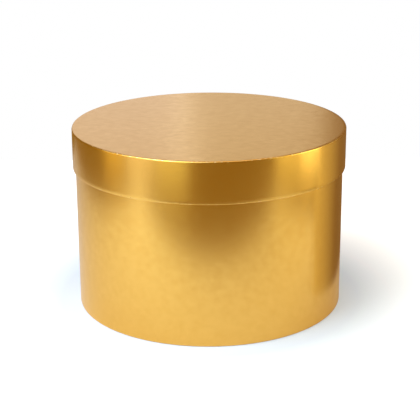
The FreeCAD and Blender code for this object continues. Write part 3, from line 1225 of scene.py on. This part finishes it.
@dataclass
class Studio:
    """A plain pale table in a dim warm room, with soft lights round it.

    Args:
        surround: the dim room beyond the lights.
        middle: what the lights look at.
        table: the table's width and depth.
        table_middle: the table's middle.
        card: where the glowing card's foot starts and ends, right of the box; it is seen only in the
            gold's gloss, as a painted reflection.
        card_height: how tall the card is.
        card_light: the painted reflection's glow at the card's near end.
        card_dark: the same over the rest of it, browner and dimmer.
        card_fade: where along the table's depth the one turns into the other.
        table_tones: the two pale tones that the table wanders between.
        painted_light_near: painted light, the glow that the table gives the camera beside the box, kept
            weak so that the shadow there shows.
        painted_light_far: the same painted glow away from the box, which makes the table white.
        painted_light_reach: how far from the axis the one turns into the other.
        lights: the softboxes.
    """

    surround: tuple[float, float, float] = (0.31, 0.185, 0.03)
    middle: Vector = field(default_factory=lambda: Vector((0, 0, 0.09)))
    table: tuple[float, float] = (0.84, 0.79)
    table_middle: tuple[float, float] = (-0.02, 0.055)
    card: tuple[tuple[float, float], ...] = ((0.16, -0.07), (0.16, 0.4))
    card_height: float = 0.35
    card_light: tuple[float, ...] = (0.75, 0.62, 0.3, 1)
    card_dark: tuple[float, ...] = (0.24, 0.14, 0.05, 1)
    card_fade: tuple[float, float] = (-0.065, 0.0)
    table_tones: tuple[tuple[float, ...], ...] = ((0.81, 0.84, 0.9, 1), (0.8, 0.83, 0.89, 1))
    painted_light_near: tuple[float, ...] = (0.0, 0.12, 0.27, 1)
    painted_light_far: tuple[float, ...] = (0.65, 0.7, 0.75, 1)
    painted_light_reach: tuple[float, float] = (0.14, 0.25)
    lights: tuple[Softbox, ...] = (
        Softbox("key", -55, 50, 0.6, 0.6, (2.8, 3.4, 4.0), 0.9),
        Softbox("front_key", -25, 42, 0.6, 0.5, (1.3, 1.8, 2.2), 0.9),
        Softbox("left_side_strip", -75, 16, 0.2, 0.5, (0.85, 0.7, 0.2), 0.56),
        Softbox("left_strip", -52, 16, 0.24, 0.5, (1.08, 1.12, 1.15), 0.56),
        Softbox("front_left_strip", -27, 16, 0.26, 0.5, (0.98, 1.05, 0.66), 0.56),
        Softbox("front_right_strip", 61, 16, 0.24, 0.5, (1.05, 1.02, 0.55), 0.56),
        Softbox("right_strip", 82, 16, 0.2, 0.5, (2.5, 2.4, 1.5), 0.56),
        Softbox("back_left", -164.5, 17, 0.6, 0.6, (0.59, 0.68, 0.96), 1.3),
        Softbox("back_right", 176, 17, 0.3, 0.6, (0.47, 0.54, 0.66), 1.3),
        Softbox("overhead", 0, 89, 1.0, 1.0, (1.2, 1.0, 1.0), 0.9),
    )

    def build(self) -> None:
        """Builds the studio."""
        self.lay_floor()
        self.stand_card()
        for softbox in self.lights:
            softbox.hang(self.middle)
        self.light_room()
        bpy.context.scene.view_settings.view_transform = "Standard"

    def lay_floor(self) -> None:
        """The plain pale floor, with painted light: a glow seen by the camera only, dimmer beside the
        box and white away from it.
        """
        floor = add_plane("floor", 1)
        bpy.ops.transform.resize(value=(*self.table, 1))
        bpy.ops.transform.translate(value=(*self.table_middle, 0))
        leave()
        recipe = Recipe("pale_floor", Roughness=0.9, Specular_IOR_Level=0.1)
        shade = recipe.spread(recipe.cloud(0.4, detail=2), 0.3, 0.7)
        tone = recipe.blend(shade, *self.table_tones)
        away = recipe.add("ShaderNodeVectorMath", {0: recipe.place}, operation="LENGTH").outputs["Value"]
        # painted light: the table glows for camera rays only, weakly beside the box and brightly further
        # off
        glow = recipe.blend(recipe.spread(away, *self.painted_light_reach), self.painted_light_near, self.painted_light_far)
        seen = recipe.add("ShaderNodeLightPath").outputs["Is Camera Ray"]
        material = recipe.dress(Base_Color=tone, Emission_Color=glow, Emission_Strength=seen)
        floor.data.materials.append(material)

    def stand_card(self) -> None:
        """A glowing card, seen only in the gold's gloss: a painted reflection that darkens the right
        edge of the gold.
        """
        card = draw_line("painted_reflection_card", [Vector((*spot, 0)) for spot in self.card])
        bpy.ops.mesh.select_all(action="SELECT")
        rise = Vector((0, 0, self.card_height))
        bpy.ops.mesh.extrude_edges_move(TRANSFORM_OT_translate={"value": rise})
        leave()
        recipe = Recipe("painted_reflection_card", Base_Color=(0.02, 0.01, 0.005, 1), Roughness=0.9,
                        Emission_Strength=1.0)
        depth = recipe.add("ShaderNodeSeparateXYZ", {0: recipe.place}).outputs["Y"]
        # painted reflection: the card glows pale gold at its near end and dim brown beyond, and only the
        # gold's gloss sees it
        glow = recipe.blend(recipe.spread(depth, *self.card_fade), self.card_light, self.card_dark)
        card.data.materials.append(recipe.dress(Emission_Color=glow))
        for ray in ("camera", "diffuse", "shadow", "transmission"):
            setattr(card, "visible_" + ray, False)

    def light_room(self) -> None:
        """A white backdrop for the camera, over the room that lights the box."""
        world = bpy.data.worlds.new("studio")
        world.use_nodes = True
        bpy.context.scene.world = world
        tree = world.node_tree
        room = tree.nodes["Background"]
        room.inputs["Color"].default_value = (*self.surround, 1)
        backdrop = tree.nodes.new("ShaderNodeBackground")
        backdrop.inputs["Color"].default_value = (1, 1, 1, 1)
        seen = tree.nodes.new("ShaderNodeLightPath")
        mix = tree.nodes.new("ShaderNodeMixShader")
        tree.links.new(seen.outputs["Is Camera Ray"], mix.inputs[0])
        tree.links.new(room.outputs[0], mix.inputs[1])
        tree.links.new(backdrop.outputs[0], mix.inputs[2])
        tree.links.new(mix.outputs[0], tree.nodes["World Output"].inputs["Surface"])


@dataclass(frozen=True)
class Viewpoint:
    """Where the camera stands and how it is held.

    Args:
        place: where it is.
        pitch: how far it looks down.
        pan: how far it looks to the right.
        roll: how far it is turned about its line of sight.
        lens: its focal length, in millimetres.
        sensor: its sensor's width, in millimetres.
        rise: its vertical shift.
    """

    place: tuple[float, float, float] = (0.0, -1.04434, 0.43744)
    pitch: float = math.radians(17.557)
    pan: float = math.radians(0.036)
    roll: float = math.radians(-0.319)
    lens: float = 101.058
    sensor: float = 36
    rise: float = -0.06

    def set_up(self) -> None:
        """Makes the scene's camera."""
        data = bpy.data.cameras.new("camera")
        data.sensor_width, data.lens, data.shift_y = self.sensor, self.lens, self.rise
        camera = bpy.data.objects.new("camera", data)
        bpy.context.scene.collection.objects.link(camera)
        level = math.cos(self.pitch)
        sight = Vector((math.sin(self.pan) * level, math.cos(self.pan) * level, -math.sin(self.pitch)))
        right = Vector((math.cos(self.pan), -math.sin(self.pan), 0))
        top = right.cross(sight)
        held_right = right * math.cos(self.roll) + top * math.sin(self.roll)
        held_top = top * math.cos(self.roll) - right * math.sin(self.roll)
        camera.location = self.place
        camera.rotation_euler = Matrix((held_right, held_top, -sight)).transposed().to_euler()
        bpy.context.scene.camera = camera


def main() -> None:
    """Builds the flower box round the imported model."""
    logging.basicConfig(level=logging.INFO, format="%(name)s: %(message)s")
    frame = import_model()
    palette = Palette.mix()
    for part in (Lid(frame, palette), Box(frame, palette), Liner(frame, palette)):
        part.build()
    Studio().build()
    Viewpoint().set_up()


if __name__ == "__main__":
    main()
